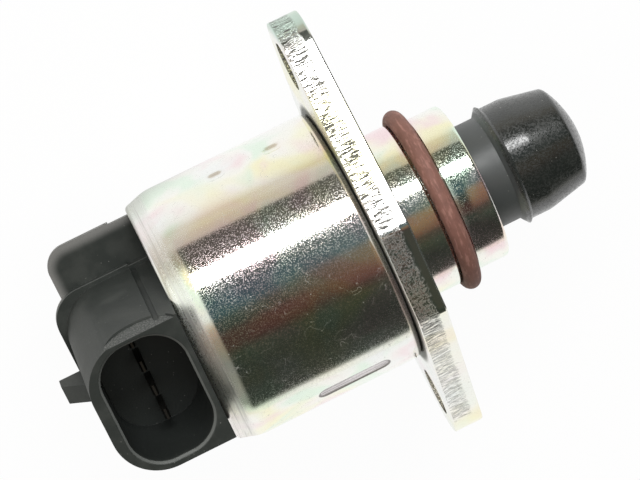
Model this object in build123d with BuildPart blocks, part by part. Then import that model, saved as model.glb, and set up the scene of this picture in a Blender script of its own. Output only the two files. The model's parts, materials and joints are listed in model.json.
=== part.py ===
# Stepper-driven idle air control valve, modelled piece by piece in millimetres.
# The valve axis is X, with the pintle towards +X. The flange's seating face is the plane x = 0.
# Y runs through the flange's two bolt holes, and the connector's socket opens towards +Z.
from build123d import *
from math import cos, radians, sin, tan
import os

os.makedirs("parts", exist_ok=True)

# Fits
running_gap = 0.05  # radial, between a shaft and its bore
sliding_gap = 0.10  # radial, between the pintle and its guide
air_gap = 0.30  # radial, between the magnet and the poles
seat_gap = 0.15  # between the moulded cap and the can

# Mounting flange
flange_thickness = 4.0
flange_width = 38.6  # across the two flats beside the can
flange_flat = 12.4  # length of each flat
flange_length = 62.0
flange_end_width = 12.0  # of the ends, rounded about the bolt holes
flange_side_radius = 1.5
flange_edge_radius = 0.4  # drawn-in edge on the seating side
bolt_hole_radius = 3.3

# Can
can_radius = 17.5
can_wall = 0.9
can_length = 26.4
can_front_radius = 1.1
crimp_band = 3.0  # length of the formed band at the rear
crimp_taper = 0.55  # what the band loses in radius before the lip
crimp_lip = 1.3  # length of the rolled lip
rim_inset = 1.6  # from the can's outside to the opening that the cap stands out of

# Marks pressed into the can: two stakes on one side and a long bead on the other
stake_turn = 80.0  # degrees from +Z towards +Y
stake_first = 6.4  # behind the flange's back face
stake_spacing = 7.9
stake_radius = 1.0
stake_straight = 1.0
stake_depth = 0.4
bead_turn = -45.0
bead_place = 9.7  # its middle, behind the flange's back face
bead_radius = 3.4
bead_straight = 7.8
bead_depth = 0.3

# Spigot
neck_share = 0.54  # of the can's radius, through the flange and the can's front wall
flare_step = 0.6  # what the staked-over end inside the can stands out from the neck
flare_thickness = 0.8
shoulder_radius = 11.4
shoulder_length = 4.55
groove_depth = 0.4
groove_width = 2.7
nose_radius = 10.8
nose_length = 11.85
nose_chamfer = 0.5
guide_radius = 7.35
key_width = 2.0
key_height = 1.1
key_length = 6.0
key_setback = 2.0  # behind the nose's end

# O-ring
o_ring_section = 2.4

# Pintle
pintle_rear = 3.15
rib_room = 3.5  # from the nose's end to the rib
rib_rise = 0.85
rib_fall = 0.45
rib_radius = 8.4
head_radius = 7.95
head_band = 2.8
head_taper = 5.5
taper_angle = 11.7
nose_edge_radius = 0.8
dome_height = 2.0
keyway_setback = 0.5  # behind the rib
keyway_play = 0.1

# Lead screw and its nut
screw_radius = 3.0
screw_end = 13.55
screw_end_room = 4.8  # in front of the screw, inside the pintle
screw_chamfer = 0.5
screw_room = 0.4  # round the screw, inside the pintle
journal_radius = 2.0
journal_chamfer = 0.3
nut_radius = 5.0
nut_length = 7.0
nut_flange_wall = 0.45  # of the pintle, between the nut's flange and the keyway
nut_flange_thickness = 0.9

# Front ball bearing
bearing_radius = 7.5
bearing_width = 4.0
outer_land = 6.2  # inner radius of the outer race
inner_land = 4.3  # outer radius of the inner race
bearing_setback = 1.2  # behind the seating face
bearing_stop = 0.5  # thickness of the shoulder in front of the bearing
bearing_stop_radius = 6.4
ball_sink = 0.2  # depth of a ball in each race
ball_count = 7
ball_play = 0.05
cage_thickness = 0.6
cage_width = 3.2
clip_radius = 4.1
clip_thickness = 0.4

# Stator
plate_thickness = 0.8
pole_room = 0.3  # between the spigot's flare and the inside of the poles, radial
claw_thickness = 0.9
claw_count = 6
claw_base = 5.0
claw_tip = 2.4
claw_gap = 0.7  # between a claw's tip and the plate across from it
bobbin_wall = 0.6
bobbin_room = 0.4  # between the coil former and the can
coil_inset = 0.8  # from the coil former's edge

# Rotor
magnet_bore = 7.0
magnet_inset = 1.4  # from the stator's ends
hub_wall = 1.4
hub_overhang = 0.4  # past the magnet's rear end
sleeve_wall = 1.0
web_thickness = 2.0

# Rear bearing
bush_radius = 4.0
bush_length = 3.0
bush_chamfer = 0.3
washer_radius = 3.9
washer_bore = 2.4
washer_thickness = 0.25
shaft_end_room = 0.6

# Rear seal
seal_width = 1.0
seal_depth = 1.5
seal_radius = 0.4

# Moulded cap and connector
disc_length = 4.5  # of the disc inside the can
collar_length = 2.8
collar_step = 0.25  # what the block and the tower stand out from the collar
block_length = 12.4
block_edge_radius = 3.0
ledge_height = -3.2  # of the shoulder beside the tower
tower_length = 14.0
tower_width = 18.4
tower_corner = 6.3
foot_step = 0.5  # what the band round the tower's foot stands out
foot_height = 1.0
foot_corner = 4.3
seam_width = 0.7  # groove beside the collar
seam_depth = 0.6
lip_height = 1.6  # of the mouth's plain edge, above the collar's step
mouth_height = 19.1
mouth_chamfer = 0.35
scallop_place = 5.3  # middle of the shallow round recess in the tower's side, behind the rim
scallop_radius = 5.2
scallop_height = 3.6
scallop_depth = 0.3
socket_front_wall = 1.0
socket_rear_wall = 1.75
socket_side_wall = 1.0
socket_corner = 4.6
latch_width = 2.6
latch_reach = 3.2
latch_bottom = 2.4
latch_flat = 2.2
latch_ramp = 3.0

# Terminals
pin_count = 4
pin_pitch = 3.6
pin_width = 1.5
pin_thickness = 0.8
pin_height = 4.8  # above the socket's floor
pin_point = 0.25
pin_foot_room = 1.2  # between the rear bush and the pins' feet
pin_cover = 1.0  # plastic between the socket's floor and the pins' feet
pin_tail = 0.5  # past the cap's inner face

# Places along the axis, from the seating face back
flange_back = -flange_thickness
can_inside = flange_back - can_wall
rim = flange_back - can_length
band_start = rim + crimp_band
lip_start = rim + crimp_lip
stator_rear = rim + disc_length
stator_length = can_inside - stator_rear
collar_end = rim - collar_length
block_rear = rim - block_length
tower_rear = rim - tower_length
bearing_front = -bearing_setback
bearing_rear = bearing_front - bearing_width
bearing_middle = bearing_front - bearing_width / 2
magnet_front = can_inside - magnet_inset
magnet_rear = stator_rear + magnet_inset
hub_rear = magnet_rear - hub_overhang
bush_rear = stator_rear - bush_length

# Places in front of the seating face
groove_end = shoulder_length + groove_width
rib_start = nose_length + rib_room
rib_peak = rib_start + rib_rise
rib_end = rib_peak + rib_fall
taper_start = rib_end + head_band
nose_edge = taper_start + head_taper
pintle_tip = nose_edge + dome_height
pintle_bore_end = screw_end + screw_end_room
keyway_end = rib_start - keyway_setback

# Radii and heights that follow from others
flange_end_radius = flange_end_width / 2
bolt_spacing = flange_length - flange_end_width
can_bore = can_radius - can_wall
rim_radius = can_radius - rim_inset
lip_radius = can_radius - crimp_taper
lip_bore = can_bore - crimp_taper
plate_radius = can_bore - running_gap
groove_radius = nose_radius - groove_depth
neck_radius = neck_share * can_radius
flare_radius = neck_radius + flare_step
shaft_radius = guide_radius - sliding_gap
screw_hole = screw_radius + screw_room
nut_flange_radius = guide_radius - key_height - nut_flange_wall
nose_tip_radius = head_radius - head_taper * tan(radians(taper_angle))
ball_circle = (outer_land + inner_land) / 2
ball_radius = (outer_land - inner_land) / 2 + ball_sink
race_radius = ball_radius + ball_play
pole_radius = flare_radius + pole_room
claw_radius = pole_radius + claw_thickness
bobbin_bore = claw_radius + running_gap
bobbin_radius = can_bore - bobbin_room
coil_bore = bobbin_bore + bobbin_wall
coil_radius = bobbin_radius - coil_inset
hub_radius = screw_radius + hub_wall
collar_radius = rim_radius - seat_gap
block_radius = collar_radius + collar_step
disc_radius = can_bore - seat_gap
disc_rear = lip_start + seat_gap
seal_bore = can_bore - seal_depth
seal_middle = (stator_rear + band_start) / 2
socket_front = rim - socket_front_wall
socket_rear = tower_rear + socket_rear_wall
socket_middle = (socket_front + socket_rear) / 2
socket_width = tower_width - 2 * socket_side_wall
pin_foot = bush_radius + pin_foot_room
socket_floor = pin_foot + pin_thickness + pin_cover
socket_depth = mouth_height - socket_floor
pin_tip = socket_floor + pin_height


def outward(turn, radius):
    """Plane that touches a cylinder round the axis, turned from +Z towards +Y by turn degrees."""
    normal = Vector(0, sin(radians(turn)), cos(radians(turn)))
    return Plane(origin=normal * radius, x_dir=(1, 0, 0), z_dir=normal)


def band(x_from, x_to, r_from, r_to):
    """Rectangle in the open sketch that turns into a tube when it is revolved about X."""
    with Locations(((x_from + x_to) / 2, (r_from + r_to) / 2)):
        Rectangle(abs(x_to - x_from), abs(r_to - r_from))


# Can: one drawn wall with a rounded front corner, its rear edge rolled over the cap
with BuildPart() as motor_can:
    with BuildSketch(Plane.XY):
        with BuildLine():
            corner = (flange_back, can_radius - can_front_radius)
            wall_front = (flange_back - can_front_radius, can_radius)
            wall_rear = (band_start, can_radius)
            lip = (lip_start, lip_radius)
            Line((flange_back, neck_radius), corner)
            TangentArc(corner, wall_front, tangent=(0, 1))
            Polyline(wall_front, wall_rear, lip)
            TangentArc(lip, (rim, rim_radius), tangent=(-crimp_band + crimp_lip, -crimp_taper))
            Polyline(
                (rim, rim_radius),
                (rim + can_wall, rim_radius),
                (lip_start, lip_bore),
                (band_start, can_bore),
                (can_inside, can_bore),
                (can_inside, neck_radius),
                (flange_back, neck_radius),
            )
        make_face()
    revolve(axis=Axis.X)
    stakes = [(stake_turn, stake_first + i * stake_spacing) for i in range(2)]
    for turn, place in stakes:
        with Locations(outward(turn, can_radius + stake_radius - stake_depth)):
            with Locations((flange_back - place, 0, 0)):
                Cylinder(stake_radius, stake_straight, rotation=(0, 90, 0), mode=Mode.SUBTRACT)
                with GridLocations(stake_straight, 0, 2, 1):
                    Sphere(stake_radius, mode=Mode.SUBTRACT)
    with Locations(outward(bead_turn, can_radius + bead_radius - bead_depth)):
        with Locations((flange_back - bead_place, 0, 0)):
            Cylinder(bead_radius, bead_straight, rotation=(0, 90, 0), mode=Mode.SUBTRACT)
            with GridLocations(bead_straight, 0, 2, 1):
                Sphere(bead_radius, mode=Mode.SUBTRACT)
motor_can.part.label = "motor_can"
export_step(motor_can.part, "parts/motor_can.step")

# Flange: a punched plate, widest beside the can, its ends rounded about the bolts
with BuildPart() as mounting_flange:
    with BuildSketch(Plane.YZ.offset(flange_back)) as plate:
        Rectangle(flange_flat, flange_width)
        with GridLocations(bolt_spacing, 0, 2, 1):
            Circle(flange_end_radius)
        make_hull()
        by_width = plate.vertices().group_by(Axis.Y)
        fillet(by_width[0] + by_width[-1], flange_side_radius)
        Circle(neck_radius, mode=Mode.SUBTRACT)
        with GridLocations(bolt_spacing, 0, 2, 1):
            Circle(bolt_hole_radius, mode=Mode.SUBTRACT)
    extrude(amount=flange_thickness)
    seating_face = mounting_flange.faces().sort_by(Axis.X)[-1]
    fillet(seating_face.outer_wire().edges(), flange_edge_radius)
mounting_flange.part.label = "mounting_flange"
export_step(mounting_flange.part, "parts/mounting_flange.step")

# Spigot: the turned nose, staked through the flange and the can, with the pintle's guide and key
with BuildPart() as spigot_housing:
    with BuildSketch(Plane.XY):
        with BuildLine():
            Polyline(
                (can_inside - flare_thickness, bearing_radius),
                (bearing_front, bearing_radius),
                (bearing_front, bearing_stop_radius),
                (bearing_front + bearing_stop, bearing_stop_radius),
                (bearing_front + bearing_stop, guide_radius),
                (nose_length, guide_radius),
                (nose_length, nose_radius - nose_chamfer),
                (nose_length - nose_chamfer, nose_radius),
                (groove_end, nose_radius),
                (groove_end, groove_radius),
                (shoulder_length, groove_radius),
                (shoulder_length, shoulder_radius),
                (0, shoulder_radius),
                (0, neck_radius),
                (can_inside, neck_radius),
                (can_inside, flare_radius),
                (can_inside - flare_thickness, flare_radius),
                close=True,
            )
        make_face()
    revolve(axis=Axis.X)
    with BuildSketch(Plane.YZ.offset(nose_length - key_setback)):
        with Locations((0, -guide_radius)):
            Rectangle(key_width, 2 * key_height)
    extrude(amount=-key_length)
spigot_housing.part.label = "spigot_housing"
export_step(spigot_housing.part, "parts/spigot_housing.step")

# O-ring, seated in the nose's groove
with BuildPart() as o_ring:
    with BuildSketch(Plane.XY):
        with Locations((shoulder_length + groove_width / 2, groove_radius + o_ring_section / 2)):
            Circle(o_ring_section / 2)
    revolve(axis=Axis.X)
o_ring.part.label = "o_ring"
export_step(o_ring.part, "parts/o_ring.step")

# Pintle: a moulded plunger with a sharp rib behind its tapered head, hollow for the screw
with BuildPart() as pintle:
    with BuildSketch(Plane.XY) as half_section:
        with BuildLine():
            Polyline(
                (pintle_bore_end, 0),
                (pintle_bore_end, screw_hole),
                (pintle_rear + nut_length, screw_hole),
                (pintle_rear + nut_length, nut_radius),
                (pintle_rear + nut_flange_thickness, nut_radius),
                (pintle_rear + nut_flange_thickness, nut_flange_radius),
                (pintle_rear, nut_flange_radius),
                (pintle_rear, shaft_radius),
                (rib_start, shaft_radius),
                (rib_peak, rib_radius),
                (rib_end, head_radius),
                (taper_start, head_radius),
                (nose_edge, nose_tip_radius),
            )
            TangentArc((pintle_tip, 0), (nose_edge, nose_tip_radius), tangent=(0, 1))
            Line((pintle_tip, 0), (pintle_bore_end, 0))
        make_face()
        nose_corner = half_section.vertices().sort_by_distance((nose_edge, nose_tip_radius))[0]
        fillet(nose_corner, nose_edge_radius)
    revolve(axis=Axis.X)
    with BuildSketch(Plane.YZ.offset(pintle_rear)):
        with Locations((0, -guide_radius)):
            Rectangle(key_width + 2 * keyway_play, 2 * (key_height + keyway_play))
    extrude(amount=keyway_end - pintle_rear, mode=Mode.SUBTRACT)
pintle.part.label = "pintle"
export_step(pintle.part, "parts/pintle.step")

# Nut, pressed into the pintle's rear end
with BuildPart() as pintle_nut:
    with BuildSketch(Plane.XY):
        band(pintle_rear, pintle_rear + nut_length, screw_radius + running_gap, nut_radius)
        band(pintle_rear, pintle_rear + nut_flange_thickness, nut_radius, nut_flange_radius)
    revolve(axis=Axis.X)
pintle_nut.part.label = "pintle_nut"
export_step(pintle_nut.part, "parts/pintle_nut.step")

# Lead screw: the rotor's shaft, threaded in front of the bearing
with BuildPart() as lead_screw:
    with BuildSketch(Plane.XY):
        with BuildLine():
            Polyline(
                (bush_rear, 0),
                (bush_rear, journal_radius - journal_chamfer),
                (bush_rear + journal_chamfer, journal_radius),
                (hub_rear, journal_radius),
                (hub_rear, screw_radius),
                (screw_end - screw_chamfer, screw_radius),
                (screw_end, screw_radius - screw_chamfer),
                (screw_end, 0),
                close=True,
            )
        make_face()
    revolve(axis=Axis.X)
lead_screw.part.label = "lead_screw"
export_step(lead_screw.part, "parts/lead_screw.step")

# Rotor core: a moulded hub and sleeve joined by a web
with BuildPart() as rotor_core:
    with BuildSketch(Plane.XY):
        rotor_middle = (magnet_front + magnet_rear) / 2
        band(hub_rear, bearing_rear, screw_radius, hub_radius)
        band(magnet_rear, magnet_front, magnet_bore - sleeve_wall, magnet_bore)
        band(
            rotor_middle - web_thickness / 2,
            rotor_middle + web_thickness / 2,
            hub_radius - hub_wall / 2,
            magnet_bore - sleeve_wall / 2,
        )
    revolve(axis=Axis.X)
rotor_core.part.label = "rotor_core"
export_step(rotor_core.part, "parts/rotor_core.step")

# Ring magnet
with BuildPart() as rotor_magnet:
    with BuildSketch(Plane.XY):
        band(magnet_rear, magnet_front, magnet_bore, pole_radius - air_gap)
    revolve(axis=Axis.X)
rotor_magnet.part.label = "rotor_magnet"
export_step(rotor_magnet.part, "parts/rotor_magnet.step")

# Front ball bearing: two grooved races, the balls and their cage
with BuildPart() as bearing_outer_race:
    with BuildSketch(Plane.XY):
        band(bearing_rear, bearing_front, outer_land, bearing_radius)
        with Locations((bearing_middle, ball_circle)):
            Circle(race_radius, mode=Mode.SUBTRACT)
    revolve(axis=Axis.X)
bearing_outer_race.part.label = "bearing_outer_race"
export_step(bearing_outer_race.part, "parts/bearing_outer_race.step")

with BuildPart() as bearing_inner_race:
    with BuildSketch(Plane.XY):
        band(bearing_rear, bearing_front, screw_radius, inner_land)
        with Locations((bearing_middle, ball_circle)):
            Circle(race_radius, mode=Mode.SUBTRACT)
    revolve(axis=Axis.X)
bearing_inner_race.part.label = "bearing_inner_race"
export_step(bearing_inner_race.part, "parts/bearing_inner_race.step")

with BuildPart(Plane.YZ.offset(bearing_middle)) as bearing_balls:
    with PolarLocations(ball_circle, ball_count):
        Sphere(ball_radius)
bearing_balls.part.label = "bearing_balls"
export_step(bearing_balls.part, "parts/bearing_balls.step")

with BuildPart(Plane.YZ.offset(bearing_middle)) as bearing_cage:
    Cylinder(ball_circle + cage_thickness / 2, cage_width)
    Cylinder(ball_circle - cage_thickness / 2, cage_width, mode=Mode.SUBTRACT)
    with PolarLocations(ball_circle, ball_count):
        Cylinder(race_radius, 2 * cage_thickness, rotation=(0, 90, 0), mode=Mode.SUBTRACT)
bearing_cage.part.label = "bearing_cage"
export_step(bearing_cage.part, "parts/bearing_cage.step")

# Clip that keeps the bearing on the shaft
with BuildPart() as shaft_clip:
    with BuildSketch(Plane.XY):
        band(bearing_front, bearing_front + clip_thickness, screw_radius, clip_radius)
    revolve(axis=Axis.X)
shaft_clip.part.label = "shaft_clip"
export_step(shaft_clip.part, "parts/shaft_clip.step")

# Claw pole plates: two stacks of two, the claws of one pair meshing between each other,
# and the rear stack turned by half a claw's pitch
stack_length = stator_length / 2
stator_middle = can_inside - stack_length
claw_length = stack_length - 2 * plate_thickness - claw_gap
claw_pitch = 360 / claw_count
pole_plates = [
    ("front_pole_plate_a", can_inside, -1, 0),
    ("front_pole_plate_b", stator_middle, 1, claw_pitch / 2),
    ("rear_pole_plate_a", stator_middle, -1, claw_pitch / 4),
    ("rear_pole_plate_b", stator_rear, 1, 3 * claw_pitch / 4),
]
for name, face, way, turn in pole_plates:
    claw_root = face + way * plate_thickness
    claw_end = claw_root + way * claw_length
    with BuildPart() as pole_plate:
        for i in range(claw_count):
            with BuildSketch(outward(turn + i * claw_pitch, pole_radius - claw_thickness)):
                with BuildLine():
                    Polyline(
                        (face, claw_base / 2),
                        (claw_root, claw_base / 2),
                        (claw_end, claw_tip / 2),
                        (claw_end, -claw_tip / 2),
                        (claw_root, -claw_base / 2),
                        (face, -claw_base / 2),
                        close=True,
                    )
                make_face()
            extrude(amount=3 * claw_thickness)
        with BuildSketch(Plane.XY):
            band(face, claw_end, pole_radius, claw_radius)
        revolve(axis=Axis.X, mode=Mode.INTERSECT)
        with BuildSketch(Plane.XY):
            band(face, claw_root, pole_radius, plate_radius)
        revolve(axis=Axis.X)
    pole_plate.part.label = name
    export_step(pole_plate.part, f"parts/{name}.step")

# Coil formers and their windings, one in each stack
stacks = [("front", can_inside), ("rear", stator_middle)]
for name, front_face in stacks:
    spool_front = front_face - plate_thickness
    spool_rear = front_face - stack_length + plate_thickness
    with BuildPart() as bobbin:
        with BuildSketch(Plane.XY):
            band(spool_rear, spool_front, bobbin_bore, coil_bore)
            band(spool_front - bobbin_wall, spool_front, bobbin_bore, bobbin_radius)
            band(spool_rear, spool_rear + bobbin_wall, bobbin_bore, bobbin_radius)
        revolve(axis=Axis.X)
    bobbin.part.label = f"{name}_bobbin"
    export_step(bobbin.part, f"parts/{name}_bobbin.step")
    with BuildPart() as coil:
        with BuildSketch(Plane.XY):
            band(spool_rear + bobbin_wall, spool_front - bobbin_wall, coil_bore, coil_radius)
        revolve(axis=Axis.X)
    coil.part.label = f"{name}_coil"
    export_step(coil.part, f"parts/{name}_coil.step")

# Bush of the shaft's rear journal
with BuildPart() as rear_bush:
    with BuildSketch(Plane.XY):
        band(bush_rear, stator_rear, journal_radius + running_gap, bush_radius)
    revolve(axis=Axis.X)
    mouth = rear_bush.edges().filter_by(GeomType.CIRCLE).group_by(Axis.X)[-1].sort_by(SortBy.RADIUS)[0]
    chamfer(mouth, bush_chamfer)
rear_bush.part.label = "rear_bush"
export_step(rear_bush.part, "parts/rear_bush.step")

# Dished washer between the bush and the rotor, which takes up the end play
with BuildPart() as preload_washer:
    with BuildSketch(Plane.XY):
        with BuildLine():
            washer_front = hub_rear - running_gap
            Polyline(
                (stator_rear, washer_radius),
                (stator_rear + washer_thickness, washer_radius),
                (washer_front, washer_bore),
                (washer_front - washer_thickness, washer_bore),
                close=True,
            )
        make_face()
    revolve(axis=Axis.X)
preload_washer.part.label = "preload_washer"
export_step(preload_washer.part, "parts/preload_washer.step")

# Seal ring between the cap and the can
with BuildPart() as rear_seal:
    with BuildSketch(Plane.XY):
        with Locations((seal_middle, (seal_bore + can_bore) / 2)):
            RectangleRounded(seal_width, seal_depth, seal_radius)
    revolve(axis=Axis.X)
rear_seal.part.label = "rear_seal"
export_step(rear_seal.part, "parts/rear_seal.step")

# Terminals: bent blades moulded into the cap, their points in the socket
pin_half = pin_thickness / 2
pin_section = [
    (stator_rear + pin_tail, pin_foot),
    (stator_rear + pin_tail, pin_foot + pin_thickness),
    (socket_middle + pin_half, pin_foot + pin_thickness),
    (socket_middle + pin_half, pin_tip - 2 * pin_point),
    (socket_middle + pin_half - pin_point, pin_tip),
    (socket_middle - pin_half + pin_point, pin_tip),
    (socket_middle - pin_half, pin_tip - 2 * pin_point),
    (socket_middle - pin_half, pin_foot),
]
pin_places = [(i - (pin_count - 1) / 2) * pin_pitch for i in range(pin_count)]
for i, place in enumerate(pin_places, start=1):
    with BuildPart() as terminal:
        with BuildSketch(Plane.XZ.offset(-place)):
            with BuildLine():
                Polyline(*pin_section, close=True)
            make_face()
        extrude(amount=pin_width / 2, both=True)
    terminal.part.label = f"terminal_{i}"
    export_step(terminal.part, f"parts/terminal_{i}.step")

# Connector: one moulding, with the disc that the can is rolled over, a rounded block behind it,
# and the socket's tower, which stands out sideways and has the latch ramp on its rear wall
with BuildPart() as connector_body:
    with BuildSketch(Plane.YZ.offset(rim)):
        Circle(block_radius)
    extrude(amount=-block_length)
    rear_edge = connector_body.edges().filter_by(GeomType.CIRCLE).sort_by(Axis.X)[0]
    fillet(rear_edge, block_edge_radius)
    with BuildSketch(Plane.XY):
        band(collar_end, rim, collar_radius, block_radius)
    revolve(axis=Axis.X, mode=Mode.SUBTRACT)
    with BuildSketch(Plane.XY.offset(ledge_height)):
        with Locations(((rim + block_rear) / 2, 0)):
            Rectangle(block_length, 2 * block_radius)
    extrude(amount=block_radius - ledge_height, mode=Mode.SUBTRACT)
    with BuildSketch(Plane.XY):
        with BuildLine():
            Polyline(
                (rim, 0),
                (stator_rear, 0),
                (stator_rear, disc_radius),
                (band_start, disc_radius),
                (disc_rear, disc_radius - crimp_taper),
                (disc_rear, collar_radius),
                (rim, collar_radius),
                close=True,
            )
        make_face()
    revolve(axis=Axis.X)
    with BuildSketch(Plane.XY.offset(ledge_height)) as tower:
        with Locations(((tower_rear + rim) / 2, 0)):
            Rectangle(rim - tower_rear, tower_width)
        fillet(tower.vertices().group_by(Axis.X)[0], tower_corner)
    extrude(amount=mouth_height - ledge_height)
    with BuildSketch(Plane.XY.offset(ledge_height)):
        with Locations(((collar_end + rim) / 2, 0)), GridLocations(0, tower_width, 1, 2):
            Rectangle(collar_length, 2 * collar_step)
        with Locations((collar_end + seam_width / 2, 0)), GridLocations(0, tower_width, 1, 2):
            Rectangle(seam_width, 2 * seam_depth)
    extrude(amount=mouth_height - lip_height - ledge_height, mode=Mode.SUBTRACT)
    with BuildSketch(Plane.XY.offset(ledge_height)) as foot:
        with Locations(((tower_rear - foot_step + collar_end) / 2, 0)):
            Rectangle(collar_end - tower_rear + foot_step, tower_width + 2 * foot_step)
        fillet(foot.vertices().group_by(Axis.X)[0], foot_corner)
        with Locations(((collar_end + rim) / 2, 0)):
            Rectangle(collar_length, tower_width - 2 * collar_step + 2 * foot_step)
    extrude(amount=foot_height)
    with BuildSketch(Plane.XZ.offset(-tower_width / 2)):
        with Locations((rim - scallop_place, mouth_height + scallop_radius - scallop_height)):
            Circle(scallop_radius)
    extrude(amount=scallop_depth, mode=Mode.SUBTRACT)
    with BuildSketch(Plane.XY.offset(socket_floor)):
        with Locations((socket_middle, 0)):
            RectangleRounded(socket_front - socket_rear, socket_width, socket_corner)
    extrude(amount=socket_depth, mode=Mode.SUBTRACT)
    mouth_face = connector_body.faces().sort_by(Axis.Z)[-1]
    chamfer(mouth_face.inner_wires()[0].edges(), mouth_chamfer)
    with BuildSketch(Plane.XZ):
        with BuildLine():
            latch_top = latch_bottom + latch_flat
            Polyline(
                (socket_rear, latch_bottom),
                (tower_rear - latch_reach, latch_bottom),
                (tower_rear - latch_reach, latch_top),
                (tower_rear, latch_top + latch_ramp),
                (socket_rear, latch_top + latch_ramp),
                close=True,
            )
        make_face()
    extrude(amount=latch_width / 2, both=True)
    with BuildSketch(Plane.XY):
        band(bush_rear, stator_rear, 0, bush_radius)
        band(bush_rear - shaft_end_room, bush_rear, 0, journal_radius)
        with Locations((seal_middle, (seal_bore + can_bore) / 2)):
            Rectangle(seal_width, seal_depth)
    revolve(axis=Axis.X, mode=Mode.SUBTRACT)
    for place in pin_places:
        with BuildSketch(Plane.XZ.offset(-place)):
            with BuildLine():
                Polyline(*pin_section, close=True)
            make_face()
        extrude(amount=pin_width / 2, both=True, mode=Mode.SUBTRACT)
connector_body.part.label = "connector_body"
export_step(connector_body.part, "parts/connector_body.step")
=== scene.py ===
"""Idle air control valve on a white table: plated can, flange and spigot, black connector and pintle."""
import json
from math import atan2, cos, hypot, pi, radians, sin, sqrt, tan

import bmesh
import bpy
from mathutils import Matrix, Vector, noise


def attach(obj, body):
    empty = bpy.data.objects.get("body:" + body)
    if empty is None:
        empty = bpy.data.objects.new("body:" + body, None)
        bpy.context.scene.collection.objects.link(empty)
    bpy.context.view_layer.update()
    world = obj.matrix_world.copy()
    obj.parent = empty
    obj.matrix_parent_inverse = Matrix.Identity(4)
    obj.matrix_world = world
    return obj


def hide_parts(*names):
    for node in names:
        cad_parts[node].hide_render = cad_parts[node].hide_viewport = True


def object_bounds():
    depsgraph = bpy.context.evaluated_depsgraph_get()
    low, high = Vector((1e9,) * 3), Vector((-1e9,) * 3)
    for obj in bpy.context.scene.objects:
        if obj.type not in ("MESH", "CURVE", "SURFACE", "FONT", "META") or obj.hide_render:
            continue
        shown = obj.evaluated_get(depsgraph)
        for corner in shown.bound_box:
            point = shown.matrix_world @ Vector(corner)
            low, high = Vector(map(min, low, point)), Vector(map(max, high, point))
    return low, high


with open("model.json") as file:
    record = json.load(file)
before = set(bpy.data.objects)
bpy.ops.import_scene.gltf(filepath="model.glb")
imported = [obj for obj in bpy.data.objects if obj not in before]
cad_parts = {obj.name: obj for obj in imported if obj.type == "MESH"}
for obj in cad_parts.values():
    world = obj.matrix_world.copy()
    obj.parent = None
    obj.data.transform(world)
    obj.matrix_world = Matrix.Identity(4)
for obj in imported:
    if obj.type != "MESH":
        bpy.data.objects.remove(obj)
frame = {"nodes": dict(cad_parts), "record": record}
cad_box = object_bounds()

MM = 0.001

# Sizes below are in millimetres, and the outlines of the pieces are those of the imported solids. Places
# along the valve's axis, X, are counted from the flange's seating face, and radii of turned pieces from
# that axis

# Can
flange_thickness = 4.0
flange_back = -flange_thickness
rim = -30.4
can_radius = 17.5
can_wall = 0.9
rim_radius = 15.9
crimp_band = 3.0
crimp_lip = 1.3
crimp_taper = 0.55
neck_radius = 9.45
can_inside = flange_back - can_wall
can_bore = can_radius - can_wall
band_start = rim + crimp_band
lip_start = rim + crimp_lip

# Marks pressed into the can's wall; their turn is in degrees from +Z towards +Y
stake_turn = 80
stake_places = (flange_back - 6.4, flange_back - 14.3)
stake_straight = 1.0
stake_reach = 1.0
stake_depth = 0.42
bead_turn = -45
bead_middle = flange_back - 9.7
bead_straight = 7.8
bead_reach = 1.3
bead_depth = 0.22
bead_flat = 0.35  # share of its reach that is flat

# Spigot and O-ring
nose_length = 11.85
nose_radius = 10.8
groove_end = 7.25
groove_radius = 10.4
shoulder_length = 4.55
shoulder_radius = 11.4
guide_radius = 7.35
bearing_radius = 7.5
bearing_front = -1.2
bearing_stop = 0.5
bearing_stop_radius = 6.4
flare_radius = 10.05
flare_thickness = 0.8
key_length = 6.0
key_width = 2.0
key_height = 1.1
key_root = 0.3  # what the key reaches into the guide's wall
key_setback = 2.0
o_ring_radius = 1.2  # of its section

# Pintle
pintle_rear = 3.15
pintle_tip = 26.95
shaft_radius = 7.25
screw_hole = 3.4
screw_hole_end = 18.35
nut_length = 7.0
nut_radius = 5.0
nut_flange_thickness = 0.9
nut_flange_radius = 5.8
keyway_floor = 6.15
keyway_end = 14.85
keyway_half = 1.1
rib_start = 15.35
rib_peak = 16.2
rib_radius = 8.4
rib_end = 16.65
head_radius = 7.95
taper_start = 19.45
nose_edge = 24.95
nose_edge_radius = 6.81
dome_corner = 3.7  # radius of the corner that is rounded into the dome

# Flange
bolt_place = 25.0
bolt_hole_radius = 3.3
end_radius = 6.0
flat_half = 6.2
flat_height = 19.3
flat_corner_radius = 1.5
side_lean = radians(32.88)  # of the straight sides, which touch the rounded ends
edge_inset = 0.12
front_chamfer = 0.2
back_chamfer = 0.12
torn_start = -1.2
torn_full = -1.6
torn_end = -3.6
tear_depth = 0.03
tear_spread = 0.05

# Connector, with its socket opening towards +Z
socket_middle = -37.025
mouth_half_width = 5.625
mouth_half_length = 8.2
mouth_corner = 4.6
tower_top = 19.1
tower_side = 8.6
tower_foot = -2.38
socket_floor = 6.5
ledge_half = 12.4
ledge_rear = -39.8
scallop_x = -35.7
scallop_z = 20.7
scallop_radius = 5.2
eased_edge = 0.3

# Meshes: steps round the axis and on arcs, cuts along edges, and the distance in which two corners are one
can_steps = 448
wall_cuts = 88
round_steps = 256
keyway_steps = 6
seal_segments = 40
neck_segments = 96
bolt_segments = 48
end_steps = 28
corner_steps = 6
outline_step = 0.35
edge_cuts = 13
same_place = 0.002


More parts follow.
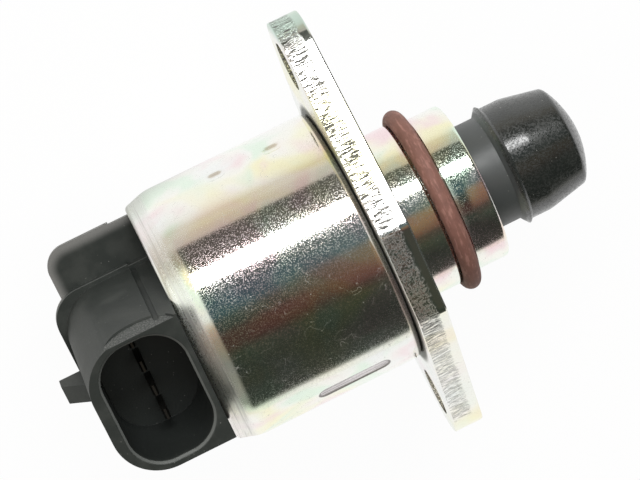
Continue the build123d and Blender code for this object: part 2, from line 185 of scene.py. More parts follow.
class Term:
    """A node's output that can be used in arithmetic; each operation adds one Math node."""

    def __init__(self, nodes, socket):
        self.nodes, self.socket = nodes, socket

    def __add__(self, other):
        return self.nodes.maths("ADD", self, other)

    def __radd__(self, other):
        return self.nodes.maths("ADD", other, self)

    def __sub__(self, other):
        return self.nodes.maths("SUBTRACT", self, other)

    def __rsub__(self, other):
        return self.nodes.maths("SUBTRACT", other, self)

    def __mul__(self, other):
        return self.nodes.maths("MULTIPLY", self, other)

    def __rmul__(self, other):
        return self.nodes.maths("MULTIPLY", other, self)

    def __truediv__(self, other):
        return self.nodes.maths("DIVIDE", self, other)

    def __rtruediv__(self, other):
        return self.nodes.maths("DIVIDE", other, self)

    def __pow__(self, other):
        return self.nodes.maths("POWER", self, other)


class Nodes:
    """The node tree of one finish or of the world."""

    def __init__(self, tree):
        self.tree = tree

    def add(self, kind, settings=None, inputs=None, output=0):
        """Adds one node: first its settings or a ramp's stops, then values or links of its sockets."""
        node = self.tree.nodes.new("ShaderNode" + kind)
        for name, value in (settings or {}).items():
            if name == "stops":
                elements = node.color_ramp.elements
                while len(elements) < len(value):
                    elements.new(1)
                for element, (place, colour) in zip(elements, value):
                    element.position = place
                    element.color = (*colour, 1)
            else:
                setattr(node, name, value)
        for name, value in (inputs or {}).items():
            if isinstance(value, Term):
                self.tree.links.new(value.socket, node.inputs[name])
            else:
                node.inputs[name].default_value = value
        return Term(self, node.outputs[output] if node.outputs else None)

    def maths(self, operation, *values):
        return self.add("Math", {"operation": operation}, dict(enumerate(values)))

    def measure(self, operation, *vectors):
        """One number from vectors: a length, a distance or a dot product."""
        return self.add("VectorMath", {"operation": operation}, dict(enumerate(vectors)), "Value")

    def hypot(self, one, other):
        return self.maths("SQRT", one ** 2 + other ** 2)

    def past(self, value, limit):
        """How far a value lies past a limit on either side of 0."""
        return self.maths("MAXIMUM", self.maths("ABSOLUTE", value) - limit, 0)

    def mix(self, share, below, above):
        """Colour below, with colour above laid over it by share."""
        below, above = [(*c, 1) if isinstance(c, tuple) else c for c in (below, above)]
        settings = {"data_type": "RGBA", "blend_type": "MIX"}
        return self.add("Mix", settings, {0: share, 6: below, 7: above}, 2)

    def ramp(self, value, *stops):
        return self.add("ValToRGB", {"stops": stops}, {"Fac": value})

    def between(self, value, low, high):
        """0 at low, 1 at high, and a smooth rise between them."""
        settings = {"interpolation_type": "SMOOTHSTEP"}
        return self.add("MapRange", settings, {"Value": value, "From Min": low, "From Max": high})

    def place(self, stretch=(1, 1, 1), turn=(0, 0, 0)):
        """Object coordinates in millimetres, stretched or turned for a pattern that runs one way."""
        point = self.add("TexCoord", output="Object")
        scale = [s / MM for s in stretch]
        return self.add("Mapping", {}, {"Vector": point, "Rotation": turn, "Scale": scale})

    def along(self, axis):
        """Object coordinate in millimetres along X, Y or Z."""
        return self.add("SeparateXYZ", {}, {0: self.place()}, axis)

    def noise(self, scale, detail=2.0, roughness=0.5, where=None, distortion=0.0):
        values = {"Vector": where or self.place(), "Scale": scale, "Detail": detail}
        return self.add("TexNoise", {}, values | {"Roughness": roughness, "Distortion": distortion})

    def cells(self, scale, output):
        return self.add("TexVoronoi", {}, {"Vector": self.place(), "Scale": scale}, output)

    def specks(self, scale, size, rarity):
        """Round dots of size millimetres, in those cells whose random number passes rarity."""
        number = self.add("SeparateXYZ", {}, {0: self.cells(scale, "Color")}, "X")
        dots = self.between(self.cells(scale, "Distance"), size * scale, size * scale / 2)
        return dots * self.between(number, rarity, rarity + 0.05)

    def hairs(self, scale):
        """Thin scratches: stretches of the lines where a noise passes its middle."""
        waves = self.noise(scale, 1.5, 0.5, self.place(turn=(0.2, 0.9, 0.5)))
        line = self.between(self.maths("ABSOLUTE", waves - 0.5), 0.0055, 0.0015)
        return line * self.between(self.noise(0.4, 2), 0.53, 0.60) * 0.5

    def bump(self, height, depth, under=None):
        """Normal of a surface whose height of 0 to 1 stands for depth millimetres, over another normal."""
        values = {"Height": height, "Distance": depth * MM, "Strength": 1.0}
        return self.add("Bump", {}, values | ({"Normal": under} if under else {}))


class Finish:
    """A material in the making: its nodes, its shader, and what varies over its surface."""

    def __init__(self, name):
        self.material = bpy.data.materials.new(name)
        self.material.use_nodes = True
        self.shader = self.material.node_tree.nodes["Principled BSDF"]
        self.nodes = Nodes(self.material.node_tree)
        self.colour = self.metal = self.rough = self.normal = None

    def lay(self, share, colour, metal=0, rough=0):
        """Lays a colour over the finish by share, with what it adds to the metal and the roughness."""
        self.colour = self.nodes.mix(share, self.colour, colour)
        if metal:
            self.metal = self.metal + share * metal
        if rough:
            self.rough = self.rough + share * rough

    def dress(self, **sockets):
        """Sets or links the shader's sockets, named with _ for spaces, and gives the material."""
        by_name = {socket.name.lower().replace(" ", "_"): socket for socket in self.shader.inputs}
        for name, value in sockets.items():
            if isinstance(value, Term):
                self.nodes.tree.links.new(value.socket, by_name[name])
            else:
                by_name[name].default_value = value
        return self.material


def darker(colour, share):
    """A colour with that share of its brightness."""
    return tuple(share * c for c in colour)


# Finishes of the pieces that show
def zinc_plate(name, tint, dull, dust, layers):
    """Bright zinc over steel: a mirror between fine dull grains, with the passivation's pale yellow, pink and
    green, dust specks and hairlines, and then the layers that one piece alone has."""
    finish = Finish(name)
    n = finish.nodes
    drift = n.noise(0.09, 2, 0.5, n.place(stretch=(0.7, 1, 1)), distortion=0.6)
    blush = n.noise(0.12, 2, 0.5, n.place(turn=(0.7, 0.2, 0.4)), distortion=0.6)
    grains = n.between(n.noise(7.0, 3, 0.6), 0.51, 0.60)
    dirt = n.maths("MAXIMUM", n.specks(0.9, 0.10, 0.6), n.hairs(0.55)) * dust
    blue_white, cream, straw = (0.91, 0.92, 0.90), (0.94, 0.93, 0.86), (0.94, 0.91, 0.64)
    finish.colour = n.ramp(drift, (0.34, blue_white), (0.50, cream), (0.64, straw))
    finish.metal = 1
    finish.rough = 0.05 + grains * dull
    finish.normal = n.bump(n.noise(6.0, 2), 0.003)
    finish.lay(n.between(blush, 0.49, 0.68) * tint, (0.92, 0.74, 0.76))
    finish.lay(n.between(blush, 0.49, 0.32) * tint, (0.77, 0.91, 0.77))
    finish.lay(dirt, (0.55, 0.55, 0.52), metal=-0.8, rough=0.3)
    for layer in layers:
        layer(finish)
    return finish.dress(
        base_color=finish.colour, metallic=finish.metal, roughness=finish.rough, normal=finish.normal
    )


def bead_painted_light(finish):
    """The bead's floor painted light as a reflection and streaked in its middle, with a dark outline painted
    as shade on its sloping sides.
    """
    n = finish.nodes
    turn = radians(bead_turn)
    side = n.along("Z") * sin(turn) - n.along("Y") * cos(turn)
    outwards = n.along("Y") * sin(turn) + n.along("Z") * cos(turn)
    from_middle = n.hypot(side, n.past(n.along("X") - bead_middle, bead_straight / 2))
    near_side = n.between(outwards, 10, 12)
    pressed = n.between(from_middle, bead_reach, bead_reach - 0.2) * near_side
    streaks = n.noise(1.0, 3, 0.6, n.place(stretch=(0.12, 4, 4)))
    # The light floor is a painted reflection and the dark outline is painted shade, standing in for the
    # dent's relief
    floor = n.mix(n.between(streaks, 0.38, 0.62), (0.38, 0.35, 0.35), (0.80, 0.76, 0.76))
    outline = n.between(from_middle, bead_reach - 0.55, bead_reach - 0.25)
    finish.lay(pressed, n.mix(outline, floor, (0.24, 0.22, 0.21)), rough=0.22)


def seam_painted_shade(finish):
    """Shade painted dark into the seam between the can and the flange."""
    n = finish.nodes
    seam = flange_back - 0.25
    # Painted shade where the can meets the flange
    painted_seam_shade = n.between(n.along("X") + n.noise(0.9, 3) * 0.3, seam, seam + 0.2)
    finish.lay(painted_seam_shade, (0.05, 0.052, 0.044), metal=-0.9, rough=0.4)


def rolled_edge(finish):
    """Rings of the rolling tool round the can's rear band."""
    n = finish.nodes
    rear = n.between(n.along("X"), band_start - 0.1, band_start - 0.9)
    rings = n.noise(1.0, 3, 0.7, n.place(stretch=(5, 0.05, 0.05))) * rear
    finish.lay(n.between(rings, 0.55, 0.64) * 0.7, (0.22, 0.21, 0.18))
    finish.lay(rear * 0.6, (0.91, 0.90, 0.87))
    finish.rough = finish.rough + rear * 0.15 + rings * 0.16
    finish.normal = n.bump(rings, 0.03, finish.normal)


def punched_edge(finish):
    """The flange's sheared edge, with strokes where the metal tore and stains on its flats, the duller broad
    faces, and shade painted round the can on the back one."""
    n = finish.nodes
    y = n.along("Y")
    facing = n.add("SeparateXYZ", {}, {0: n.add("NewGeometry", output="Normal")}, "X")
    edge = n.between(n.maths("ABSOLUTE", facing), 0.6, 0.3)
    torn = n.between(n.along("X") + n.noise(0.6, 2) * 1.2, torn_start + 0.8, torn_start + 0.2) * edge
    flat = n.between(n.maths("ABSOLUTE", y), flat_half + 0.1, flat_half - 0.5)
    # The strokes are weaker towards the -Y end, and end before its tip
    strength = n.between(y, -bolt_place - 3, -bolt_place - 2) * (0.25 + n.between(y, -13, -6) * 0.75)
    strokes = n.noise(1.0, 3, 0.7, n.place(stretch=(0.7, 5.2, 5.2)), distortion=0.3)
    strokes = n.between(strokes, 0.46, 0.60) * torn * strength * (1 - flat)
    stains = n.between(n.noise(3.2, 3, 0.7), 0.44, 0.62) * torn * flat
    from_axis = n.measure("LENGTH", n.place(stretch=(0, 1, 1)))
    # Painted shade on the back face round the can, in the corner against it
    painted_seam_shade = n.between(facing, -0.9, -0.97) * n.between(from_axis, can_radius + 1.5, can_radius + 0.3)
    green_end = n.between(y, bolt_place + 3.3, bolt_place + 5.5)
    finish.lay(painted_seam_shade * 0.85, (0.07, 0.075, 0.058), metal=-0.5, rough=0.3)
    finish.lay(green_end * 0.7, (0.42, 0.60, 0.50))
    finish.lay(strokes, (0.09, 0.09, 0.082), metal=-1, rough=0.5)
    finish.lay(stains, (0.10, 0.075, 0.055), metal=-0.8, rough=0.3)
    finish.rough = finish.rough + (1 - edge) * 0.2 + torn * 0.05
    finish.normal = n.bump(1 - strokes, 0.03, finish.normal)


def rubber(name, colour, scuff):
    """Matt rubber with pores, a mottled colour and paler scuffs."""
    finish = Finish(name)
    n = finish.nodes
    mottle = n.noise(0.5, 4, 0.6)
    pores = n.noise(6.0, 3, 0.6)
    finish.colour = n.mix(n.between(mottle, 0.35, 0.7), darker(colour, 0.8), colour)
    worn = n.between(n.noise(1.3, 4, 0.65, n.place(stretch=(2.0, 0.4, 0.4))), 0.50, 0.66)
    finish.lay(worn * scuff, tuple(min(1, 1.7 * c + 0.05) for c in colour))
    return finish.dress(
        base_color=finish.colour, roughness=0.55 + pores * 0.2, normal=n.bump(pores + mottle, 0.03),
        specular_ior_level=0.4,
    )


def moulding_grain(nodes):
    """The fine grain of the black mouldings."""
    return nodes.noise(5.0, 3, 0.6)


def black_plastic(name, level, gloss, shine, grain_depth, dust, layers):
    """Glass-filled black plastic with moulded grain, handling haze and a few pale dust specks, and under the
    specks the layers that one piece alone has."""
    finish = Finish(name)
    n = finish.nodes
    grain = moulding_grain(n)
    haze = n.between(n.noise(0.3, 3, 0.55), 0.40, 0.70)
    clean, hazy = (level, 1.15 * level, 1.05 * level), (1.5 * level, 1.65 * level, 1.5 * level)
    finish.colour = n.mix(haze, clean, hazy)
    finish.rough = gloss + grain * 0.14 + haze * 0.08
    for layer in layers:
        layer(finish)
    specks = n.maths("MAXIMUM", n.specks(0.8, 0.09, 0.80), n.specks(1.5, 0.08, 0.72) * 0.6)
    finish.lay(specks * dust, (0.40, 0.40, 0.37))
    return finish.dress(
        base_color=finish.colour, roughness=finish.rough, normal=n.bump(grain, grain_depth),
        specular_ior_level=shine,
    )


def outside_mouth(nodes):
    """Distance outside the socket's round-cornered mouth, seen from above; it is below 0 inside."""
    beside = nodes.past(nodes.along("X") - socket_middle, mouth_half_width - mouth_corner)
    ahead = nodes.past(nodes.along("Y"), mouth_half_length - mouth_corner)
    return nodes.hypot(beside, ahead) - mouth_corner


def socket_painted_shade_and_highlights(finish):
    """The socket's inside darkened as painted shade, and painted highlights on the edges at the tower's foot
    and round its mouth.
    """
    n = finish.nodes
    z = n.along("Z")
    outside = outside_mouth(n)
    # Painted shade deep in the socket
    inside = n.between(outside, 0.15, 0.05) * n.between(z, socket_floor, socket_floor + 0.1)
    finish.lay(inside * n.between(z, tower_top - 0.2, tower_top - 1.6), (0.02325, 0.02666, 0.0248))
    # Painted highlights along the foot band's top edge and along the mouth's chamfer
    foot = n.between(n.maths("ABSOLUTE", z - tower_foot), 0.16, 0.10) * n.between(outside, 0.9, 1.0)
    finish.lay(foot * 0.8, (0.15, 0.155, 0.15))
    chamfer = n.between(outside, -0.05, 0.05) * n.between(outside, 0.34, 0.22)
    finish.lay(chamfer * n.between(z, tower_top - 0.6, tower_top - 0.4) * 0.8, (0.15, 0.158, 0.15))


def ledge_painted_highlight(finish):
    """A painted highlight along the edge of the cap's block beside the tower, as its grazing sheen."""
    n = finish.nodes
    z = n.along("Z")
    beyond = n.hypot(n.past(n.along("Y"), ledge_half), n.maths("MAXIMUM", ledge_rear - n.along("X"), 0))
    # The mask worn marks a painted highlight: the sheen along the edge as it turns away
    worn = n.between(beyond, 1.5, 3.0) * n.between(outside_mouth(n), 0.6, 1.2)
    worn = worn * n.between(z, -2.5, -2.8) * n.between(z, -5.5, -3.4)
    finish.lay(worn * (0.65 + moulding_grain(n) * 0.35), (0.24, 0.238, 0.228))


def scallop_grain(finish):
    """Coarse sparkling grain in the round recess of the tower's side."""
    n = finish.nodes
    z = n.along("Z")
    from_centre = n.hypot(n.along("X") - scallop_x, z - scallop_z)
    recess = n.between(from_centre, scallop_radius, scallop_radius - 0.15)
    recess = recess * n.between(n.along("Y"), tower_side, tower_side + 0.1)
    recess = recess * n.between(z, tower_top - 0.05, tower_top - 0.15)
    sparkle = n.between(n.noise(4.5, 3, 0.7), 0.46, 0.62)
    finish.lay(recess * (0.10 + sparkle * 0.85), (0.17, 0.175, 0.17))
    finish.rough = finish.rough + recess * 0.2


def rubbed_shaft(finish):
    """The pintle's shaft, rubbed matt by its guide, and the matt grains in the glossier head."""
    n = finish.nodes
    shaft = n.between(n.along("X"), rib_peak - 0.2, rib_peak - 0.6)
    grains = n.between(n.noise(3.4, 3, 0.7), 0.46, 0.58) * (1 - shaft)
    finish.lay(shaft, (0.056, 0.062, 0.061), rough=0.30)
    finish.lay(grains * 0.2, (0.05, 0.055, 0.052))
    finish.rough = finish.rough + grains * 0.3
    finish.dress(coat_weight=(1 - shaft) * 0.25, coat_roughness=0.16)


# Finishes of the pieces inside
def turned_metal(name, colour, gloss, pitch):
    """Metal with fine rings round the axis from the lathe, a little uneven in colour."""
    finish = Finish(name)
    n = finish.nodes
    rings = n.noise(1.0, 3, 0.6, n.place(stretch=(1 / pitch, 0.15, 0.15)))
    stain = n.noise(0.4, 4, 0.6)
    return finish.dress(
        base_color=n.mix(n.between(stain, 0.4, 0.7), darker(colour, 0.82), colour), metallic=1.0,
        roughness=gloss + rings * 0.15 + stain * 0.08, normal=n.bump(rings, 0.008),
    )


def grained(name, colour, metal, gloss, grain, depth):
    """A moulded, pressed or sintered finish with its own grain."""
    finish = Finish(name)
    n = finish.nodes
    pits = n.noise(grain, 4, 0.65)
    cloud = n.noise(grain * 0.08, 3, 0.55)
    finish.colour = n.mix(n.between(cloud, 0.35, 0.7), darker(colour, 0.78), colour)
    finish.lay(n.between(pits, 0.62, 0.78) * 0.4, darker(colour, 0.5))
    return finish.dress(
        base_color=finish.colour, metallic=metal, roughness=gloss + pits * 0.2, normal=n.bump(pits, depth)
    )


def winding(name, colour):
    """Layers of enamelled wire: round turns side by side, some of them darker."""
    finish = Finish(name)
    n = finish.nodes
    settings = {"wave_type": "BANDS", "bands_direction": "X", "wave_profile": "SIN"}
    values = {"Vector": n.place(), "Scale": 1.3, "Distortion": 0.6, "Detail": 1.0}
    turns = n.add("TexWave", settings, values, "Fac")
    shade = n.noise(0.8, 3, 0.6, n.place(stretch=(3, 0.3, 0.3)))
    return finish.dress(
        base_color=n.mix(n.between(shade, 0.35, 0.7), darker(colour, 0.55), colour), metallic=0.9,
        roughness=0.28 + turns * 0.1, normal=n.bump(turns, 0.06),
    )


# Finishes by the record's material slots
can_layers = [bead_painted_light, seam_painted_shade, rolled_edge]
connector_layers = [socket_painted_shade_and_highlights, ledge_painted_highlight, scallop_grain]
recipes = {
    "plated_can": (zinc_plate, dict(tint=0.8, dull=0.235, dust=0.9, layers=can_layers)),
    "plated_flange": (zinc_plate, dict(tint=0.25, dull=0.12, dust=0.3, layers=[punched_edge])),
    "plated_spigot": (zinc_plate, dict(tint=1.0, dull=0.26, dust=0.5, layers=[])),
    "brown_rubber": (rubber, dict(colour=(0.25, 0.117, 0.091), scuff=0.5)),
    "black_moulding": (
        black_plastic,
        dict(level=0.031, gloss=0.40, shine=0.4, grain_depth=0.02, dust=0.55, layers=connector_layers),
    ),
    "pintle_plastic": (
        black_plastic,
        dict(level=0.017, gloss=0.06, shine=0.75, grain_depth=0.016, dust=0.9, layers=[rubbed_shaft]),
    ),
    "shaft_steel": (turned_metal, dict(colour=(0.58, 0.58, 0.57), gloss=0.22, pitch=0.12)),
    "nut_brass": (turned_metal, dict(colour=(0.72, 0.55, 0.24), gloss=0.25, pitch=0.15)),
    "rotor_moulding": (grained, dict(colour=(0.80, 0.78, 0.70), metal=0, gloss=0.40, grain=3.0, depth=0.02)),
    "magnet_ferrite": (grained, dict(colour=(0.10, 0.10, 0.11), metal=0, gloss=0.55, grain=5.0, depth=0.03)),
    "pole_steel": (grained, dict(colour=(0.55, 0.56, 0.55), metal=1, gloss=0.30, grain=2.5, depth=0.01)),
    "bobbin_moulding": (grained, dict(colour=(0.78, 0.74, 0.62), metal=0, gloss=0.42, grain=3.0, depth=0.02)),
    "copper_wire": (winding, dict(colour=(0.62, 0.27, 0.13))),
    "bearing_steel": (turned_metal, dict(colour=(0.70, 0.70, 0.70), gloss=0.10, pitch=0.08)),
    "cage_steel": (grained, dict(colour=(0.50, 0.50, 0.49), metal=1, gloss=0.32, grain=3.0, depth=0.01)),
    "spring_steel": (turned_metal, dict(colour=(0.42, 0.43, 0.44), gloss=0.28, pitch=0.2)),
    "sintered_bronze": (grained, dict(colour=(0.50, 0.36, 0.20), metal=1, gloss=0.42, grain=6.0, depth=0.03)),
    "black_rubber": (rubber, dict(colour=(0.03, 0.03, 0.03), scuff=0.2)),
    # The terminals' tin is painted dark, as painted shade for where they stand deep in the socket
    "tinned_brass": (grained, dict(colour=(0.125, 0.122, 0.11), metal=1, gloss=0.34, grain=4, depth=0.002)),
}
finishes = {slot: make(slot, **values) for slot, (make, values) in recipes.items()}
for part in frame["record"]["subparts"]:
    mesh = frame["nodes"][part["node"]].data
    mesh.materials.clear()
    mesh.materials.append(finishes[part["material_slot"]])


def show(name, data):
    """A new object in the scene, at the origin."""
    thing = bpy.data.objects.new(name, data)
    bpy.context.scene.collection.objects.link(thing)
    return thing


def add_piece(name, bm, slot, body, node, crease=32):
    """Closes the mesh, shades it smooth but for its creases, and lets it stand for a CAD node."""
    bmesh.ops.remove_doubles(bm, verts=bm.verts, dist=same_place * MM)
    bmesh.ops.recalc_face_normals(bm, faces=bm.faces)
    mesh = bpy.data.meshes.new(name)
    bm.to_mesh(mesh)
    bm.free()
    mesh.shade_smooth()
    mesh.set_sharp_from_angle(angle=radians(crease))
    mesh.materials.append(finishes[slot])
    piece = show(name, mesh)
    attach(piece, body)
    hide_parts(node)
    return piece


def spin_round(bm, steps):
    """Turns a section about the valve's axis into a closed ring."""
    bmesh.ops.spin(
        bm, geom=bm.verts[:] + bm.edges[:], cent=(0, 0, 0), axis=(1, 0, 0), angle=2 * pi, steps=steps,
        use_merge=True,
    )


def turned(outline, steps):
    """A half-section spun about the valve's axis. A corner is (x, radius) in millimetres, and a rounded one
    has the size and the segments of its rounding after that."""
    bm = bmesh.new()
    corners = [bm.verts.new((x * MM, 0, radius * MM)) for x, radius, *_ in outline]
    bm.faces.new(corners)
    for corner, (_, _, *rounding) in zip(corners, outline):
        if rounding:
            size, segments = rounding
            bmesh.ops.bevel(
                bm, geom=[corner], offset=size * MM, segments=segments, profile=0.5, affect="VERTICES",
                material=-1,
            )
    bmesh.ops.delete(bm, geom=bm.faces[:], context="FACES_ONLY")
    on_axis = [e for e in bm.edges if all(v.co.z < same_place * MM for v in e.verts)]
    bmesh.ops.delete(bm, geom=on_axis, context="EDGES")
    spin_round(bm, steps)
    return bm


# Can: drawn wall with a rounded front corner and a rear edge rolled over the cap
can = turned(
    [
        (flange_back, neck_radius),
        (flange_back, can_radius, 1.1, 8),
        (band_start, can_radius, 0.9, 10),
        (lip_start, can_radius - crimp_taper, 0.3, 3),
        (rim, can_bore, 0.5, 8),
        (rim, rim_radius, 0.1, 2),
        (rim + can_wall, rim_radius),
        (lip_start, can_bore - crimp_taper),
        (band_start, can_bore),
        (can_inside, can_bore),
        (can_inside, neck_radius),
    ],
    can_steps,
)


def along_wall(edge):
    """Whether an edge runs along the outside of the can, from its front corner to its rear band."""
    start, end = [v.co for v in edge.verts]
    half_length = (flange_back - rim) / 2 * MM
    inside_wall = (can_radius + can_bore) / 2 * MM
    return abs(start.x - end.x) > half_length and hypot(*start.yz) > inside_wall


def press(bm, turn, middle, straight, reach, depth, flat=0):
    """Presses a long round-ended dent into the can's wall, with a flat share in the middle of its reach."""
    facing = Vector((0, sin(radians(turn)), cos(radians(turn))))
    on_wall = (can_radius - 0.3) * MM
    for v in bm.verts:
        radius = hypot(*v.co.yz)
        turned_away = v.co.dot(facing) < 0.9 * radius
        if radius < on_wall or turned_away:
            continue
        side = Vector((1, 0, 0)).cross(facing).dot(v.co)
        end = max(abs(v.co.x - middle * MM) - straight * MM / 2, 0)
        share = min(max((1 - hypot(side, end) / (reach * MM)) / (1 - flat), 0), 1)
        v.co.yz = v.co.yz * (1 - depth * MM * sin(share * pi / 2) / radius)


wall = [e for e in can.edges if along_wall(e)]
bmesh.ops.subdivide_edges(can, edges=wall, cuts=wall_cuts, use_grid_fill=True)
for stake_middle in stake_places:
    press(can, stake_turn, stake_middle, stake_straight, stake_reach, stake_depth)
press(can, bead_turn, bead_middle, bead_straight, bead_reach, bead_depth, bead_flat)
add_piece("can_shell", can, "plated_can", "housing", "motor_can", crease=28)

# Spigot: turned nose with the seal's groove, and the pintle's guide and key inside
spigot = turned(
    [
        (can_inside - flare_thickness, bearing_radius),
        (bearing_front, bearing_radius),
        (bearing_front, bearing_stop_radius),
        (bearing_front + bearing_stop, bearing_stop_radius),
        (bearing_front + bearing_stop, guide_radius),
        (nose_length, guide_radius, 0.3, 3),
        (nose_length, nose_radius, 0.5, 4),
        (groove_end, nose_radius, 0.15, 3),
        (groove_end, groove_radius),
        (shoulder_length, groove_radius),
        (shoulder_length, shoulder_radius, 0.3, 4),
        (0, shoulder_radius),
        (0, neck_radius),
        (can_inside, neck_radius),
        (can_inside, flare_radius),
        (can_inside - flare_thickness, flare_radius, 0.2, 3),
    ],
    round_steps,
)
key = bmesh.ops.create_cube(spigot, size=1)["verts"]
key_size = Vector((key_length, key_width, key_height + key_root))
key_middle = Vector((nose_length - key_setback - key_length / 2, 0, key_size.z / 2 - guide_radius - key_root))
bmesh.ops.scale(spigot, vec=key_size * MM, verts=key)
bmesh.ops.translate(spigot, vec=key_middle * MM, verts=key)
add_piece("spigot_nose", spigot, "plated_spigot", "housing", "spigot_housing")

# O-ring: a round section in the middle of the groove, spun about the axis
seal = bmesh.new()
bmesh.ops.create_circle(seal, segments=seal_segments, radius=o_ring_radius * MM)
bmesh.ops.rotate(seal, cent=(0, 0, 0), matrix=Matrix.Rotation(pi / 2, 3, "X"), verts=seal.verts)
groove_middle = Vector(((shoulder_length + groove_end) / 2, 0, groove_radius + o_ring_radius))
bmesh.ops.translate(seal, vec=groove_middle * MM, verts=seal.verts)
spin_round(seal, round_steps)
add_piece("o_ring_seal", seal, "brown_rubber", "housing", "o_ring")

# Pintle: moulded plunger with a sharp rib behind its tapered head, hollow behind for the screw
plunger = turned(
    [
        (screw_hole_end, 0),
        (screw_hole_end, screw_hole),
        (pintle_rear + nut_length, screw_hole),
        (pintle_rear + nut_length, nut_radius),
        (pintle_rear + nut_flange_thickness, nut_radius),
        (pintle_rear + nut_flange_thickness, nut_flange_radius),
        (pintle_rear, nut_flange_radius),
        (pintle_rear, keyway_floor),
        (pintle_rear, shaft_radius, 0.3, 3),
        (keyway_end, shaft_radius),
        (rib_start, shaft_radius),
        (rib_peak, rib_radius, 0.08, 2),
        (rib_end, head_radius),
        (taper_start, head_radius, 0.4, 4),
        (nose_edge, nose_edge_radius, 0.34, 6),
        (pintle_tip, dome_corner, 3.3, 16),
        (pintle_tip, 0),
    ],
    round_steps,
)


def from_below(co):
    """Angle round the axis from straight down."""
    return atan2(co.y, -co.z)


# Keyway under the plunger, open at its rear: faces either side of straight down are sunk to its floor
keyway_angle = keyway_steps * 2 * pi / round_steps


def over_keyway(face):
    """Whether a face of the plunger lies where the keyway is cut."""
    centre = face.calc_center_median()
    if abs(from_below(centre)) > keyway_angle or centre.x > keyway_end * MM:
        return False
    return hypot(*centre.yz) > keyway_floor * MM


slot_faces = [f for f in plunger.faces if over_keyway(f)]
for v in {v for f in slot_faces for v in f.verts}:
    radius = hypot(*v.co.yz)
    v.co.y = from_below(v.co) / keyway_angle * keyway_half * MM
    v.co.z = -max(sqrt(radius ** 2 - v.co.y ** 2), keyway_floor * MM)
for sunk in bmesh.ops.extrude_face_region(plunger, geom=slot_faces)["geom"]:
    if isinstance(sunk, bmesh.types.BMVert):
        sunk.co.z = -keyway_floor * MM
bmesh.ops.delete(plunger, geom=slot_faces, context="FACES")
bmesh.ops.remove_doubles(plunger, verts=plunger.verts, dist=same_place * MM)
bmesh.ops.dissolve_degenerate(plunger, dist=same_place * MM, edges=plunger.edges)
add_piece("pintle_plunger", plunger, "pintle_plastic", "plunger", "pintle")

# Flange: punched plate, widest beside the can, its ends rounded about the bolt holes
plate = bmesh.new()


def arc(centre, start, way, angle, steps):
    """Corners of the plate's outline on an arc about centre, clockwise seen from +X where way is 1."""
    first = len(plate.verts)
    corner = plate.verts.new(start)
    bmesh.ops.spin(plate, geom=[corner], cent=centre, axis=(-way, 0, 0), angle=angle, steps=steps)
    plate.verts.ensure_lookup_table()
    return plate.verts[first:]


def plate_end(side):
    """The rounded end about one bolt hole, from its top to its bottom."""
    centre = Vector((0, side * bolt_place, 0)) * MM
    start = centre + Vector((0, side * sin(side_lean), cos(side_lean))) * end_radius * MM
    return arc(centre, start, side, pi - 2 * side_lean, end_steps)


def flat_corner(side, top):
    """One rounded corner of the plate's flat, from the flat to the straight side."""
    inset = flat_corner_radius * tan(side_lean / 2)
    centre = Vector((0, side * (flat_half - inset), top * (flat_height - flat_corner_radius))) * MM
    start = centre + Vector((0, 0, top * flat_corner_radius)) * MM
    return arc(centre, start, side * top, side_lean, corner_steps)


plus_end, minus_end = plate_end(1), plate_end(-1)
lower_flat = flat_corner(1, -1)[::-1] + flat_corner(-1, -1)
upper_flat = flat_corner(-1, 1)[::-1] + flat_corner(1, 1)
ring = plus_end + lower_flat + minus_end[::-1] + upper_flat
for a, b in zip(ring, ring[1:] + ring[:1]):
    if not plate.edges.get((a, b)):
        plate.edges.new((a, b))
straight_edges = [e for e in plate.edges if e.calc_length() > MM]
for e in straight_edges:
    bmesh.ops.subdivide_edges(plate, edges=[e], cuts=int(e.calc_length() / (outline_step * MM)))
holes = [(0, neck_radius, neck_segments)]
holes += [(side * bolt_place, bolt_hole_radius, bolt_segments) for side in (1, -1)]
for y, radius, segments in holes:
    hole = bmesh.ops.create_circle(plate, segments=segments, radius=radius * MM)["verts"]
    bmesh.ops.rotate(plate, cent=(0, 0, 0), matrix=Matrix.Rotation(pi / 2, 3, "Y"), verts=hole)
    bmesh.ops.translate(plate, vec=(0, y * MM, 0), verts=hole)
bmesh.ops.triangle_fill(plate, use_beauty=True, use_dissolve=False, edges=plate.edges[:])
bmesh.ops.translate(plate, vec=(flange_back * MM, 0, 0), verts=plate.verts)
raised = bmesh.ops.extrude_face_region(plate, geom=plate.faces[:])["geom"]
raised = [v for v in raised if isinstance(v, bmesh.types.BMVert)]
bmesh.ops.translate(plate, vec=(-flange_back * MM, 0, 0), verts=raised)
bmesh.ops.recalc_face_normals(plate, faces=plate.faces)


def on_outline(v):
    """Whether a corner of the plate lies on its outline, not round a hole."""
    from_bolt = min(hypot(v.co.y - y * MM, v.co.z) for y in (bolt_place, -bolt_place))
    return hypot(*v.co.yz) > (neck_radius + 2.5) * MM and from_bolt > (bolt_hole_radius + 1.2) * MM


def through_edge(edge):
    """Whether an edge of the outline runs through the plate's thickness."""
    start, end = [v.co for v in edge.verts]
    return all(map(on_outline, edge.verts)) and abs(start.x - end.x) > flange_thickness * 0.75 * MM


# Chamfers of the outline: a deeper one in front, where the punch drew the edge over, and a fine one behind
for facing, drop in ((1, front_chamfer), (-1, back_chamfer)):
    broad = [f for f in plate.faces if f.normal.x * facing > 0.9]
    bmesh.ops.inset_region(
        plate, faces=broad, thickness=edge_inset * MM, use_boundary=True, use_even_offset=True
    )
    plate.normal_update()
    border = [v for v in plate.verts if {round(f.normal.x) for f in v.link_faces} == {0, facing}]
    border = [v for v in border if on_outline(v)]
    bmesh.ops.translate(plate, vec=(-facing * drop * MM, 0, 0), verts=border)

